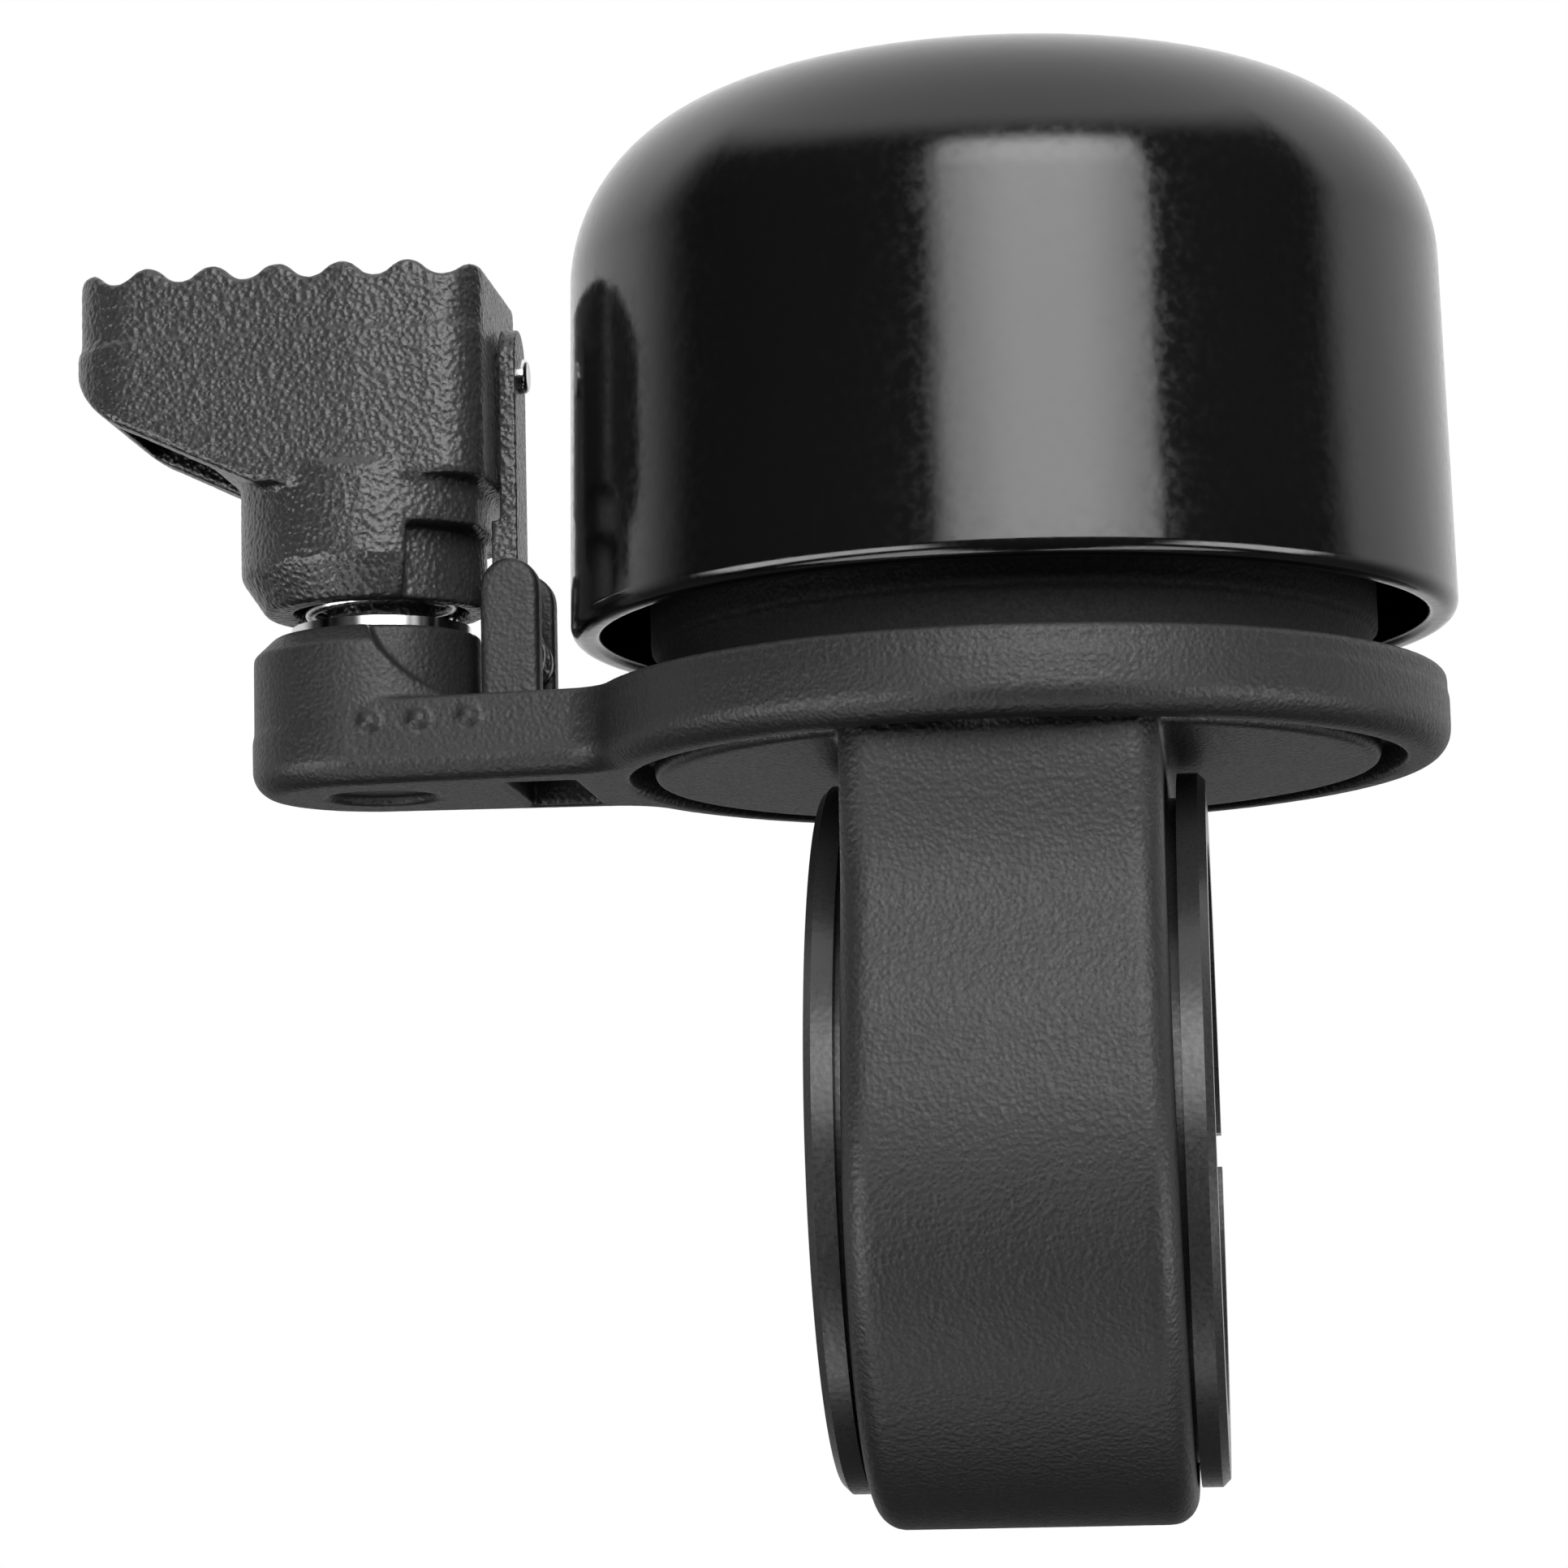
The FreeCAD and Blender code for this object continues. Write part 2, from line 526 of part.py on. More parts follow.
def lever_hub():
    """Round hub under the block, with the cam flat and the relief over the hinge posts."""
    flare_z, cam_z, top_z = HUB_LOW_Z + 1.5, BASE_Z + 10.3, BLOCK_LOW_Z + 0.6
    hub = fuse(cone(4.6, HUB_R, HUB_LOW_Z, flare_z, LEVER_X), cyl(HUB_R, flare_z, top_z, LEVER_X))
    hub = hub.cut(block(LEVER_X + CAM_FLAT, -10, -8, 8, HUB_LOW_Z - 1, top_z + 1))
    wedge = Part.makeCylinder(8, cam_z - HUB_LOW_Z + 1, vec(LEVER_X, 0, HUB_LOW_Z - 1), Z_AXIS,
                              RELIEF_ANGLE)
    wedge.rotate(vec(LEVER_X, 0, 0), Z_AXIS, -RELIEF_ANGLE / 2)
    hub = hub.cut(wedge.cut(cyl(RELIEF_R, HUB_LOW_Z - 2, cam_z + 1, LEVER_X)))
    return hub.cut(cyl(3.5, HUB_LOW_Z - 1, HUB_LOW_Z + 4.0, LEVER_X))


def thumb_lever():
    """Ribbed thumb lever on its vertical axle."""
    plan = block_plan(0, BASE_Z + 10, BLOCK_SEAM_Z).fuse(block_plan(0.12, BLOCK_SEAM_Z, BASE_Z + 24))
    body = ribbed_side().common(plan.removeSplitter())
    body = body.cut(block(-35.4, -31.6, -3.2, 3.2, BASE_Z + 10, BASE_Z + 17.6))
    body = fuse(body, lever_hub(), cyl(SLEEVE_R, SLEEVE_LOW_Z, HUB_LOW_Z + 6.0, LEVER_X))
    body = body.cut(cyl(AXLE_BORE_R, SLEEVE_LOW_Z - 1, AXLE_BORE_TOP_Z, LEVER_X))
    return body.cut(cyl(2.0, CLIP_Z[0] - CLIP_PLAY, CLIP_Z[1] + CLIP_PLAY, LEVER_X))


def axle_clip():
    """Split ring that locks the lever on its axle."""
    clip = tube(1.28, 1.96, CLIP_Z[0], CLIP_Z[1], LEVER_X)
    return clip.cut(block(LEVER_X, LEVER_X + 4, -0.5, 0.5, CLIP_Z[0] - 1, CLIP_Z[1] + 1))


# ---------------------------------------------------------------- hammer
def hammer_arm():
    """Upright leaf with a barrel round its pin."""
    straight_top = LEAF_TOP_Z - LEAF_HALF_Y
    leaf = block(LEAF_LEFT_X, LEAF_RIGHT_X, -LEAF_HALF_Y, LEAF_HALF_Y, HAMMER_PIN_Z, straight_top)
    tip = Part.makeCylinder(LEAF_HALF_Y, LEAF_RIGHT_X - LEAF_LEFT_X, vec(LEAF_LEFT_X, 0, straight_top),
                            vec(1, 0, 0))
    root = block(LEAF_ROOT_X, LEAF_RIGHT_X, -LEAF_HALF_Y, LEAF_HALF_Y, HAMMER_PIN_Z, BASE_Z + 10.9)
    barrel = cyl_y(BARREL_R, -LEAF_HALF_Y, LEAF_HALF_Y, HAMMER_X, HAMMER_PIN_Z)
    body = fuse(leaf, tip, root, barrel)
    body = body.cut(block(-22, -18, -0.72, 0.72, HAMMER_PIN_Z - 2, HAMMER_PIN_Z + 1.35))
    body = body.cut(cyl_y(PIN_R + 0.05, -3, 3, HAMMER_X, HAMMER_PIN_Z))
    hole = Part.makeCylinder(RIVET_R, 5, vec(-22, 0, STRIKER_Z), vec(1, 0, 0))
    return body.cut(hole)


def striker():
    """Riveted steel button that meets the dome."""
    shank = Part.makeCylinder(RIVET_R, LEAF_RIGHT_X - LEAF_LEFT_X, vec(LEAF_LEFT_X, 0, STRIKER_Z),
                              vec(1, 0, 0))
    head = Part.makeCylinder(0.7, 0.35, vec(LEAF_RIGHT_X, 0, STRIKER_Z), vec(1, 0, 0))
    face = edges_where(head, lambda e: abs(e.BoundBox.XMin - LEAF_RIGHT_X - 0.35) < 0.01)
    return fuse(shank, head.makeFillet(0.2, face))


def hammer_pin():
    return cyl_y(PIN_R, PIN_NEAR_Y, HINGE_POST_Y[1], HAMMER_X, HAMMER_PIN_Z)


def hammer_spring():
    """Fine torsion spring in the leaf's slot: one leg on the leaf, one in the arm's slot."""
    mean_r, wire_r, turns, pitch = 0.88, 0.12, 3.5, 0.3
    helix = Part.makeHelix(pitch, pitch * turns, mean_r)
    helix.rotate(vec(0, 0, 0), vec(1, 0, 0), 90)
    helix.translate(vec(HAMMER_X, pitch * turns / 2, HAMMER_PIN_Z))
    first, last = helix.Vertexes[0].Point, helix.Vertexes[-1].Point
    section = Part.Wire(Part.makeCircle(wire_r, first, vec(0, -pitch / (2 * math.pi * mean_r), 1)))
    coil = Part.Wire(helix.Edges).makePipeShell([section], True, True)
    upper_end = vec(LEAF_RIGHT_X + wire_r + 0.01, first.y, HAMMER_PIN_Z + 3.0)
    upper = Part.makeCylinder(wire_r, first.distanceToPoint(upper_end), first, upper_end - first)
    lower = Part.makeCylinder(wire_r, 2.4, last, vec(0, 0, -1))
    return fuse(coil, upper, lower, Part.makeSphere(wire_r, first), Part.makeSphere(wire_r, last))


PARTS = (bar_shim, clamp_base, clamp_screw, clamp_washer, clamp_nut, glide_washer, ring_retainer,
         dome_screw, dome_lock_washer, dome_isolator, dome_post, dome, swivel_arm, lever_axle,
         thrust_washer, lever_spring, thumb_lever, axle_clip, hammer_arm, striker, hammer_pin,
         hammer_spring)

os.makedirs("parts", exist_ok=True)
for make in PARTS:
    solid = make()
    export(make.__name__, solid)
    print("%-18s solids %d  valid %s  volume %.2f" % (make.__name__, len(solid.Solids), solid.isValid(),
                                                     solid.Volume))
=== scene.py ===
import bmesh
import bpy
import json
import math
from mathutils import Matrix, Vector, noise


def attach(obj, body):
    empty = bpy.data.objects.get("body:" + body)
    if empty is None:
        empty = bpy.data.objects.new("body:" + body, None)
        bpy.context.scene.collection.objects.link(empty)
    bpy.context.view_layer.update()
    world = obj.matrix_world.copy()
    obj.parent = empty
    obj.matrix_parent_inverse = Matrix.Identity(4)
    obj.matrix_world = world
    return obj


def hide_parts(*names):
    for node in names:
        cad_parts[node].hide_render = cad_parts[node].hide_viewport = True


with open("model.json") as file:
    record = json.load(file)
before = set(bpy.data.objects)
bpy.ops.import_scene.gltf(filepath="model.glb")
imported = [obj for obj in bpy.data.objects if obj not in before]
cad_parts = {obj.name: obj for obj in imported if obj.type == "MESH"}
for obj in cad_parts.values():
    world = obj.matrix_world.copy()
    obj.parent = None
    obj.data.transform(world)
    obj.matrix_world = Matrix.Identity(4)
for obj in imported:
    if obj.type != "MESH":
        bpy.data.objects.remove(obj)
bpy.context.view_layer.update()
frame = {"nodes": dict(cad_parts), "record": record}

MM = 0.001

# ---------------------------------------------------------------- sizes, in millimetres
DOME_TOP_Z = 42.35
DOME_WALL = 1.2
CROWN_R = 41.2
SHOULDER_R = 6.92
SHOULDER_X = 10.36            # radius of the shoulder arc's centre line
WALL_TAPER = math.radians(0.92)
RIM_TOP_Z = 20.32             # where the wall ends and the rim's rounding starts
RIM_BEVEL_R = 0.62
RIM_LIP_R = 0.3
TURN_STEPS = 256
CAP_FOOT_Z = 17.45            # foot of the cap under the dome
CAP_R = 14.5
NECK_LOW_Z = 3.0              # waist of the clamp band
NECK_HIGH_Z = 14.6
NECK_INNER_R = 13.3
NECK_FADE = 1.6
NECK_FRONT_Y = 8.0
NECK_DEPTH = 0.6
WELD_GAP = 0.0005             # vertices nearer than this are one
FLOOR_HALF, FLOOR_DROP = 4000, 600


# ---------------------------------------------------------------- node helpers
class Graph:
    """Short way to build a node tree: every method returns an output socket."""

    def __init__(self, tree):
        self.tree = tree
        tree.nodes.clear()

    def node(self, kind, **settings):
        made = self.tree.nodes.new(kind)
        for name, value in settings.items():
            setattr(made, name, value)
        return made

    def feed(self, socket, value):
        if isinstance(value, bpy.types.NodeSocket):
            self.tree.links.new(value, socket)
        else:
            socket.default_value = value

    def math(self, operation, a, b=0.0, c=0.0):
        made = self.node("ShaderNodeMath", operation=operation)
        for socket, value in zip(made.inputs, (a, b, c)):
            self.feed(socket, value)
        return made.outputs[0]

    def ramp(self, value, low, high, out_low=0.0, out_high=1.0):
        """Smooth step from out_low to out_high as value goes from low to high."""
        made = self.node("ShaderNodeMapRange", interpolation_type="SMOOTHSTEP")
        for name, item in (("Value", value), ("From Min", low), ("From Max", high),
                           ("To Min", out_low), ("To Max", out_high)):
            self.feed(made.inputs[name], item)
        return made.outputs["Result"]

    def window(self, value, low, high, soft_low, soft_high):
        """1 between low and high, fading over the soft widths outside them."""
        rise = self.ramp(value, low - soft_low, low)
        fall = self.ramp(value, high, high + soft_high, 1.0, 0.0)
        return self.math("MULTIPLY", rise, fall)

    def noise(self, scale, detail, roughness, vector):
        made = self.node("ShaderNodeTexNoise")
        made.inputs["Scale"].default_value = scale
        made.inputs["Detail"].default_value = detail
        made.inputs["Roughness"].default_value = roughness
        self.feed(made.inputs["Vector"], vector)
        return made.outputs["Fac"]

    def cells(self, scale, vector, smoothness=0.6):
        made = self.node("ShaderNodeTexVoronoi", feature="SMOOTH_F1")
        made.inputs["Scale"].default_value = scale
        made.inputs["Smoothness"].default_value = smoothness
        self.feed(made.inputs["Vector"], vector)
        return made.outputs["Distance"]

    def mix_colour(self, factor, a, b):
        made = self.node("ShaderNodeMix", data_type="RGBA")
        self.feed(made.inputs["Factor"], factor)
        self.feed(made.inputs[6], a)
        self.feed(made.inputs[7], b)
        return made.outputs[2]

    def bump(self, height, depth, normal=None):
        made = self.node("ShaderNodeBump")
        made.inputs["Strength"].default_value = 1.0
        made.inputs["Distance"].default_value = depth
        self.feed(made.inputs["Height"], height)
        if normal is not None:
            self.feed(made.inputs["Normal"], normal)
        return made.outputs["Normal"]


def new_material(name):
    made = bpy.data.materials.new(name)
    made.use_nodes = True
    graph = Graph(made.node_tree)
    shader = graph.node("ShaderNodeBsdfPrincipled")
    output = graph.node("ShaderNodeOutputMaterial")
    made.node_tree.links.new(shader.outputs[0], output.inputs["Surface"])
    place = graph.node("ShaderNodeTexCoord").outputs["Object"]
    return made, graph, shader, place


def grey(value, warm=0.0):
    return (value * (1 + warm), value, value * (1 - warm), 1.0)


# ---------------------------------------------------------------- materials
def gloss_paint():
    """Stoved black paint: deep gloss, a fine orange peel and faint dust."""
    made, graph, shader, place = new_material("dome_paint")
    mottle = graph.noise(90, 3, 0.6, place)
    colour = graph.mix_colour(mottle, grey(0.006), grey(0.009))
    graph.feed(shader.inputs["Base Color"], colour)
    peel = graph.noise(900, 2.5, 0.55, place)
    swell = graph.noise(160, 1.5, 0.4, place)
    rough = graph.ramp(graph.noise(2600, 2, 0.5, place), 0.3, 0.8, 0.1, 0.2)
    graph.feed(shader.inputs["Roughness"], rough)
    normal = graph.bump(swell, 0.03 * MM)
    graph.feed(shader.inputs["Normal"], graph.bump(peel, 0.006 * MM, normal))
    return made


def under_dome_painted_shade(graph, place):
    """1 on the cap under the dome, whose plastic gets a painted shade (a darker colour standing in for
    the dome's shadow) and a matt finish; 0 elsewhere.
    """
    split = graph.node("ShaderNodeSeparateXYZ")
    graph.feed(split.inputs[0], place)
    x, y, z = split.outputs
    reach = graph.math("SQRT", graph.math("MULTIPLY_ADD", x, x, graph.math("MULTIPLY", y, y)))
    above = graph.ramp(z, CAP_FOOT_Z * MM, (CAP_FOOT_Z + 0.15) * MM)
    within = graph.ramp(reach, CAP_R * MM, (CAP_R + 0.5) * MM, 1.0, 0.0)
    return graph.math("MULTIPLY", above, within)


def textured_plastic(name, low, high, grain, depth, rough_low, rough_high, pit_share=0.5,
                     matt_cap_painted_shade=False):
    """Moulded plastic with a spark-eroded skin of grains about 1/grain metres across."""
    made, graph, shader, place = new_material(name)
    patch = graph.noise(220, 3, 0.6, place)
    speckle = graph.noise(grain * 1.4, 2, 0.7, place)
    tone = graph.math("MULTIPLY_ADD", speckle, 0.6, graph.math("MULTIPLY", patch, 0.4))
    colour = graph.mix_colour(tone, grey(low), grey(high))
    rough = graph.ramp(speckle, 0.3, 0.75, rough_low, rough_high)
    if matt_cap_painted_shade:
        matt_and_shade_mask = under_dome_painted_shade(graph, place)
        # painted shade: the cap under the dome gets half the plastic's darkest colour, standing in for
        # the shadow the dome casts on it; the added roughness is a matt finish
        colour = graph.mix_colour(matt_and_shade_mask, colour, grey(0.5 * low))
        rough = graph.math("MULTIPLY_ADD", matt_and_shade_mask, 0.3, rough)
    graph.feed(shader.inputs["Base Color"], colour)
    pits = graph.cells(grain, place)
    fine = graph.noise(grain * 0.8, 3, 0.6, place)
    height = graph.math("MULTIPLY_ADD", pits, pit_share, graph.math("MULTIPLY", fine, 1 - pit_share))
    graph.feed(shader.inputs["Normal"], graph.bump(height, depth))
    graph.feed(shader.inputs["Roughness"], rough)
    return made


def metal(name, tone, rough_low, rough_high, scale, stretch, warm=0.0):
    """Turned or drawn metal with fine marks."""
    made, graph, shader, place = new_material(name)
    shader.inputs["Metallic"].default_value = 1.0
    mapping = graph.node("ShaderNodeMapping")
    mapping.inputs["Scale"].default_value = stretch
    graph.feed(mapping.inputs["Vector"], place)
    marks = graph.noise(scale, 3, 0.6, mapping.outputs[0])
    colour = graph.mix_colour(marks, grey(tone * 0.82, warm), grey(tone, warm))
    graph.feed(shader.inputs["Base Color"], colour)
    graph.feed(shader.inputs["Roughness"], graph.ramp(marks, 0.3, 0.7, rough_low, rough_high))
    graph.feed(shader.inputs["Normal"], graph.bump(marks, 0.004 * MM))
    return made


def rubber():
    made, graph, shader, place = new_material("isolator_rubber")
    bloom = graph.noise(700, 3, 0.6, place)
    graph.feed(shader.inputs["Base Color"], graph.mix_colour(bloom, grey(0.012), grey(0.024)))
    graph.feed(shader.inputs["Roughness"], graph.ramp(bloom, 0.3, 0.7, 0.6, 0.75))
    graph.feed(shader.inputs["Normal"], graph.bump(bloom, 0.01 * MM))
    return made


MATERIALS = {
    "dome_paint": gloss_paint(),
    # body plastic carries the painted shade on the cap under the dome
    "body_plastic": textured_plastic("body_plastic", 0.012, 0.028, 5200, 0.05 * MM, 0.44, 0.6,
                                     matt_cap_painted_shade=True),
    "lever_plastic": textured_plastic("lever_plastic", 0.02, 0.055, 4300, 0.09 * MM, 0.27, 0.4, 0.6),
    "shim_plastic": textured_plastic("shim_plastic", 0.02, 0.035, 4200, 0.01 * MM, 0.26, 0.38),
    "glide_plastic": textured_plastic("glide_plastic", 0.42, 0.52, 3000, 0.004 * MM, 0.3, 0.4),
    "screw_steel": metal("screw_steel", 0.5, 0.25, 0.42, 900, (1, 1, 0.15)),
    "bright_steel": metal("bright_steel", 0.68, 0.16, 0.28, 1500, (1, 1, 0.1)),
    "spring_steel": metal("spring_steel", 0.6, 0.2, 0.35, 2500, (1, 1, 1)),
    "post_brass": metal("post_brass", 0.55, 0.2, 0.35, 1200, (1, 1, 0.12), 0.35),
    "isolator_rubber": rubber(),
}

for row in frame["record"]["subparts"]:
    owner = frame["nodes"][row["node"]]
    owner.data.materials.clear()
    owner.data.materials.append(MATERIALS[row["material_slot"]])

BODY_OF = {node: body for body, nodes in frame["record"]["behaviour"]["bodies"].items() for node in nodes}
SLOT_OF = {row["node"]: row["material_slot"] for row in frame["record"]["subparts"]}


# ---------------------------------------------------------------- pieces
def add_piece(name, mesh, node):
    """Puts a finished mesh in the scene in place of a CAD node."""
    piece = bpy.data.objects.new(name, mesh)
    bpy.context.scene.collection.objects.link(piece)
    mesh.materials.clear()
    mesh.materials.append(MATERIALS[SLOT_OF[node]])
    mesh.shade_smooth()
    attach(piece, BODY_OF[node])
    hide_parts(node)


def hollow_neck(place):
    """Waist in the front flank of the clamp band, just under the base disc."""
    along = (place.z - NECK_LOW_Z) / (NECK_HIGH_Z - NECK_LOW_Z)
    if place.y < 0 and 0 < along < 1:
        outward = min(max((math.hypot(place.y, place.z) - NECK_INNER_R) / NECK_FADE, 0), 1)
        front = min(-place.y / NECK_FRONT_Y, 1)
        place.y += NECK_DEPTH * outward * front * math.sin(math.pi * along) ** 2
    return place


def moulded(node, name, voxel, rounds, grain, depth, reshape=None):
    """Copy of a CAD node with every edge rounded, as a moulding's are, and an eroded skin.

    voxel is the mesh size in millimetres and rounds the number of smoothing passes; grain is the
    width of the skin's bumps and depth their height, in millimetres.
    """
    mesh = frame["nodes"][node].data.copy()
    mesh.transform(Matrix.Scale(1 / MM, 4))
    work = bmesh.new()
    work.from_mesh(mesh)
    bmesh.ops.remove_doubles(work, verts=work.verts, dist=WELD_GAP)
    work.to_mesh(mesh)
    work.free()
    shell = bpy.data.objects.new(name + "_shell", mesh)
    bpy.context.scene.collection.objects.link(shell)
    remesh = shell.modifiers.new("remesh", "REMESH")
    remesh.mode = "VOXEL"
    remesh.voxel_size = voxel
    smooth = shell.modifiers.new("smooth", "SMOOTH")
    smooth.factor = 0.5
    smooth.iterations = rounds
    done = bpy.data.meshes.new_from_object(shell.evaluated_get(bpy.context.evaluated_depsgraph_get()))
    done.name = name
    bpy.data.objects.remove(shell)
    bpy.data.meshes.remove(mesh)
    normals = [vertex.normal.copy() for vertex in done.vertices]
    places = []
    for vertex, normal in zip(done.vertices, normals):
        if reshape:
            vertex.co = reshape(vertex.co.copy())
        height = noise.noise(vertex.co / grain) + 0.5 * noise.noise(vertex.co * 2.1 / grain)
        places.extend(vertex.co + normal * (depth * (height - 0.8)))
    done.vertices.foreach_set("co", places)
    done.update()
    done.transform(Matrix.Scale(MM, 4))
    add_piece(name, done, node)


def arc_points(centre_r, centre_z, radius, start, end, count):
    """Points of an arc in the section plane, from one angle to another."""
    return [(centre_r + radius * math.cos(start + (end - start) * i / count),
             centre_z + radius * math.sin(start + (end - start) * i / count)) for i in range(count + 1)]


def bell_curve(inset):
    """Half section of the bell from the pole of its crown down to the top of the rim's rounding."""
    crown_z = DOME_TOP_Z - CROWN_R
    lean = math.asin(SHOULDER_X / (CROWN_R - SHOULDER_R))
    shoulder_z = crown_z + (CROWN_R - SHOULDER_R) * math.cos(lean)
    crown = arc_points(0, crown_z, CROWN_R - inset, math.pi / 2, math.pi / 2 - lean, 24)
    shoulder = arc_points(SHOULDER_X, shoulder_z, SHOULDER_R - inset, math.pi / 2 - lean, WALL_TAPER, 32)
    top_r, top_z = shoulder[-1]
    wall = [(top_r + (top_z - z) * math.tan(WALL_TAPER), z)
            for z in (top_z - (top_z - RIM_TOP_Z) * i / 8 for i in range(1, 9))]
    return crown[1:] + shoulder[1:] + wall


def turned_dome():
    """Bell of constant wall with a rounded bevel on its rim, turned in fine steps."""
    outer, inner = bell_curve(0), bell_curve(DOME_WALL)
    out_r, in_r = outer[-1][0], inner[-1][0]
    bevel = arc_points(out_r - RIM_BEVEL_R, RIM_TOP_Z, RIM_BEVEL_R, 0, -math.pi / 2, 16)[1:]
    foot_z = bevel[-1][1]
    lip = arc_points(in_r + RIM_LIP_R, foot_z + RIM_LIP_R, RIM_LIP_R, -math.pi / 2, -math.pi, 6)
    section = outer + bevel + lip + inner[::-1]
    poles = [(0, DOME_TOP_Z), (0, DOME_TOP_Z - DOME_WALL)]
    verts = [Vector((0, 0, z)) * MM for _, z in poles]
    for radius, z in section:
        for i in range(TURN_STEPS):
            turn = 2 * math.pi * i / TURN_STEPS
            verts.append(Vector((radius * math.cos(turn), radius * math.sin(turn), z)) * MM)
    faces = []
    last = len(section) - 1
    for i in range(TURN_STEPS):
        j = (i + 1) % TURN_STEPS
        faces.append((0, 2 + i, 2 + j))
        faces.append((1, 2 + last * TURN_STEPS + j, 2 + last * TURN_STEPS + i))
        for ring in range(last):
            low, high = 2 + ring * TURN_STEPS, 2 + (ring + 1) * TURN_STEPS
            faces.append((low + i, high + i, high + j, low + j))
    mesh = bpy.data.meshes.new("dome_shell")
    mesh.from_pydata(verts, [], faces)
    add_piece("dome_shell", mesh, "dome")


turned_dome()
moulded("thumb_lever", "lever_body", 0.1, 30, 0.2, 0.014)
moulded("swivel_arm", "arm_body", 0.11, 7, 0.2, 0.004)
moulded("clamp_base", "clamp_body", 0.14, 5, 0.22, 0.006, hollow_neck)
moulded("hammer_arm", "hammer_leaf", 0.06, 8, 0.2, 0.004)
moulded("ring_retainer", "retainer_cap", 0.13, 4, 0.2, 0.006)


# ---------------------------------------------------------------- studio
def studio_world():
    """White room: a soft box in front, dark flags on both sides of it, white walls and ceiling.

    All angles are in degrees. Azimuth 0 is in front of the bell and grows toward +X.
    """
    world = bpy.data.worlds.new("studio")
    world.use_nodes = True
    graph = Graph(world.node_tree)
    way = graph.node("ShaderNodeTexCoord").outputs["Generated"]
    split = graph.node("ShaderNodeSeparateXYZ")
    graph.feed(split.inputs[0], way)
    x, y, z = split.outputs
    degrees = 180 / math.pi
    azimuth = graph.math("MULTIPLY", graph.math("ARCTAN2", x, graph.math("MULTIPLY", y, -1.0)), degrees)
    height = graph.math("MULTIPLY", graph.math("ARCSINE", z), degrees)

    walls = graph.math("SUBTRACT", 1.0, graph.window(azimuth, -84, 90, 28, 14))
    ceiling = graph.ramp(height, 36, 54)
    room = graph.math("MAXIMUM", walls, ceiling)
    room = graph.math("MULTIPLY", room, graph.ramp(height, 10, 60, 0.95, 1.4))
    room = graph.math("MULTIPLY", room, graph.ramp(height, -35, 4, 0.1, 1.0))

    box_across = graph.window(azimuth, -10, 41, 8, 1)
    box_glow = graph.math("MULTIPLY_ADD", graph.window(azimuth, 8, 20, 26, 26), 3.2, 3.4)
    box_up = graph.math("MULTIPLY", graph.window(height, 4, 31, 2, 11),
                        graph.ramp(height, 14, 26, 0.94, 1.22))
    box = graph.math("MULTIPLY", graph.math("MULTIPLY", box_across, box_up), box_glow)

    low_left = graph.window(azimuth, -72, -26, 16, 12)
    low_right = graph.window(azimuth, 54, 82, 12, 12)
    low = graph.math("MULTIPLY", graph.math("ADD", low_left, low_right),
                     graph.window(height, -30, -14, 8, 8))
    low = graph.math("MULTIPLY", low, 7.0)
    steep_left = graph.window(azimuth, -70, -25, 10, 10)
    steep_right = graph.window(azimuth, 52, 80, 8, 8)
    steep = graph.math("MULTIPLY", graph.math("ADD", steep_left, steep_right),
                       graph.window(height, -84, -56, 4, 10))
    low = graph.math("MULTIPLY_ADD", steep, 4.0, low)

    light = graph.math("ADD", graph.math("ADD", room, box), low)
    lit = graph.node("ShaderNodeBackground")
    graph.feed(lit.inputs["Strength"], light)
    lit.inputs["Color"].default_value = (1, 1, 1, 1)
    plain = graph.node("ShaderNodeBackground")
    plain.inputs["Color"].default_value = (1, 1, 1, 1)
    plain.inputs["Strength"].default_value = 1.0
    seen = graph.node("ShaderNodeLightPath").outputs["Is Camera Ray"]
    mix = graph.node("ShaderNodeMixShader")
    graph.feed(mix.inputs[0], seen)
    graph.feed(mix.inputs[1], lit.outputs[0])
    graph.feed(mix.inputs[2], plain.outputs[0])
    output = graph.node("ShaderNodeOutputWorld")
    graph.feed(output.inputs["Surface"], mix.outputs[0])
    bpy.context.scene.world = world


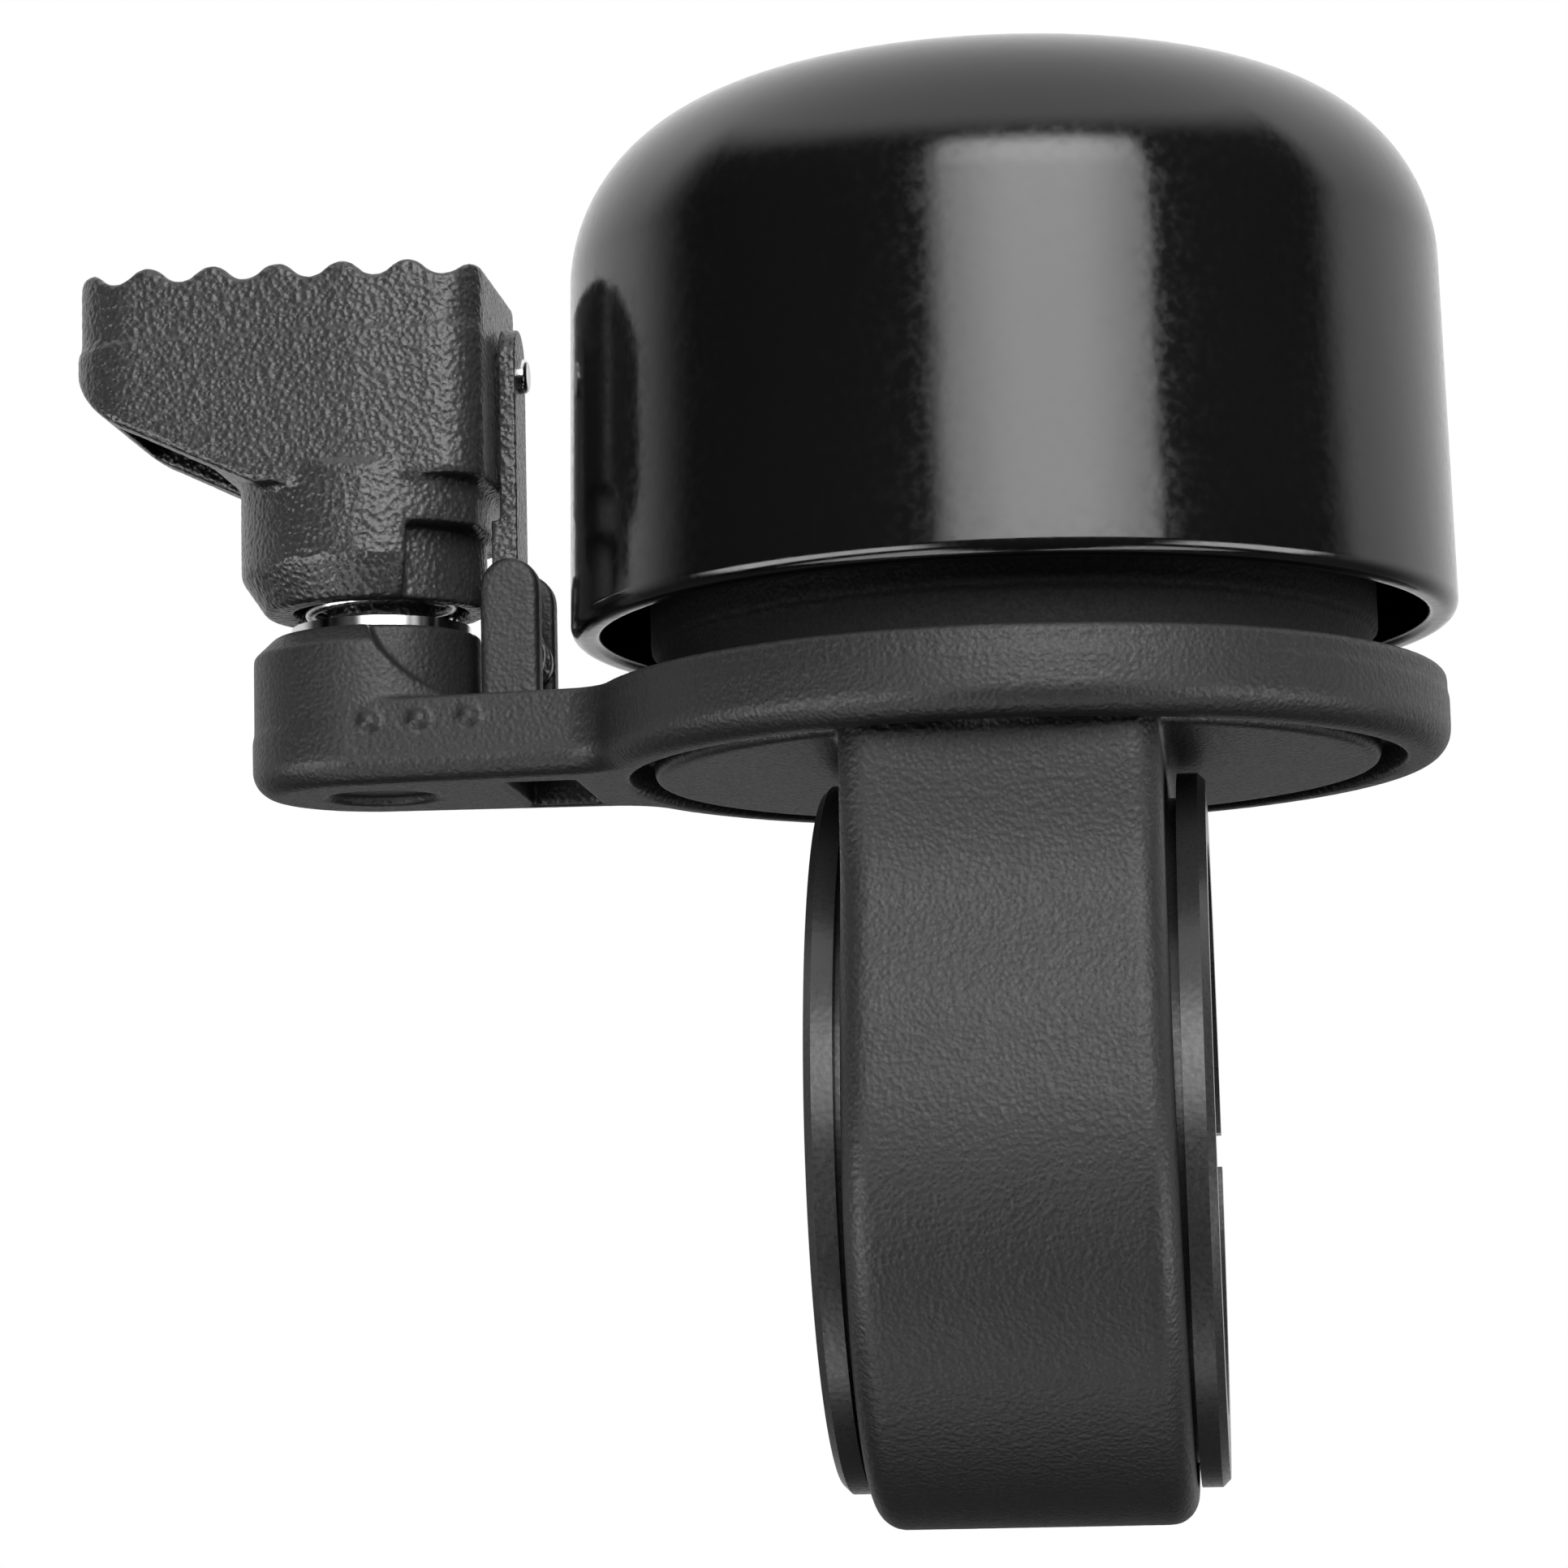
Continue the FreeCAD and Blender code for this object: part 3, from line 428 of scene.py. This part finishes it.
CAMERA_AZIMUTH = math.radians(6.04)
CAMERA_ELEVATION = math.radians(-7.62)
CAMERA_ROLL = math.radians(1.345)
CAMERA_PLACE = Vector((8.77, -170.37, -8.83)) * MM


def studio_camera():
    """Long lens a little below the bell, looking up at it."""
    data = bpy.data.cameras.new("camera")
    data.lens = 100
    data.sensor_width = 36
    data.clip_start = 0.01
    data.clip_end = 20
    camera = bpy.data.objects.new("camera", data)
    bpy.context.scene.collection.objects.link(camera)
    back = Vector((math.sin(CAMERA_AZIMUTH) * math.cos(CAMERA_ELEVATION),
                   -math.cos(CAMERA_AZIMUTH) * math.cos(CAMERA_ELEVATION), math.sin(CAMERA_ELEVATION)))
    right = Vector((math.cos(CAMERA_AZIMUTH), math.sin(CAMERA_AZIMUTH), 0))
    up = back.cross(right)
    level = Matrix((right, up, back)).transposed()
    camera.matrix_world = (Matrix.Translation(CAMERA_PLACE) @ level.to_4x4()
                           @ Matrix.Rotation(-CAMERA_ROLL, 4, "Z"))
    bpy.context.scene.camera = camera


def studio_floor():
    """Plain pale sheet well below the bell."""
    size, drop = FLOOR_HALF * MM, FLOOR_DROP * MM
    mesh = bpy.data.meshes.new("floor")
    corners = [(-size, -size, -drop), (size, -size, -drop), (size, size, -drop), (-size, size, -drop)]
    mesh.from_pydata(corners, [], [(0, 1, 2, 3)])
    floor = bpy.data.objects.new("floor", mesh)
    bpy.context.scene.collection.objects.link(floor)
    floor.visible_diffuse = False
    floor.visible_glossy = False
    made, graph, shader, place = new_material("floor_sheet")
    tone = graph.noise(6, 2, 0.5, place)
    graph.feed(shader.inputs["Base Color"], graph.mix_colour(tone, grey(0.9), grey(0.93)))
    shader.inputs["Roughness"].default_value = 0.9
    shader.inputs["Emission Color"].default_value = (1, 1, 1, 1)
    shader.inputs["Emission Strength"].default_value = 0.35
    mesh.materials.append(made)


studio_world()
studio_camera()
studio_floor()
bpy.context.scene.view_settings.view_transform = "Standard"
bpy.context.scene.view_settings.look = "None"
